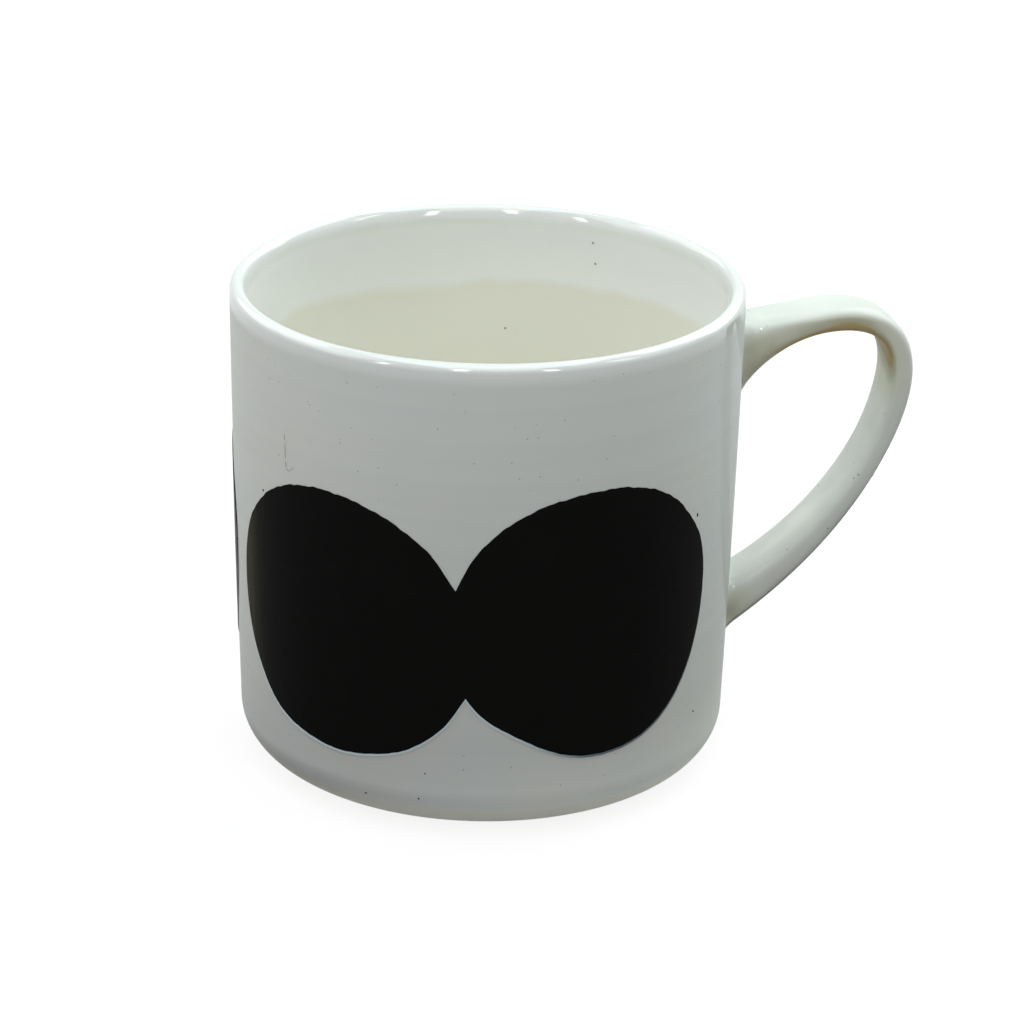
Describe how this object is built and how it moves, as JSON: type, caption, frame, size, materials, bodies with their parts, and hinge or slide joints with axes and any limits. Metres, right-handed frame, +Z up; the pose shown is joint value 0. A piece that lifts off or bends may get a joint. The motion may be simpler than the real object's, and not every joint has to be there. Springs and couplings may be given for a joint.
{
  "type": "mug",
  "caption": "Straight-sided glazed ceramic mug with a full-round lip, an ear-shaped strap handle luted to the wall, and a black print of overlapping ovals on each side.",
  "frame": {"origin": "middle of the foot on the table, on the cup's axis", "axes": "+Z up along the cup's axis, +X from the axis through the middle of the handle"},
  "size_m": [0.1144, 0.084, 0.0814],
  "materials": {
    "glaze": "glossy white glaze with a faint green-grey cast, fine specks and an unglazed foot ring",
    "handle_glaze": "glossy white glaze, ivory where it runs thick at the roots and in the inner bend",
    "print": "fired black print, semi-gloss, with slightly uneven edges"
  },
  "bodies": {
    "root": {"cup_body": "glaze", "handle": "handle_glaze", "upper_slip_joint": "handle_glaze", "lower_slip_joint": "handle_glaze", "front_print": "print", "back_print": "print"}
  },
  "joints": []
}
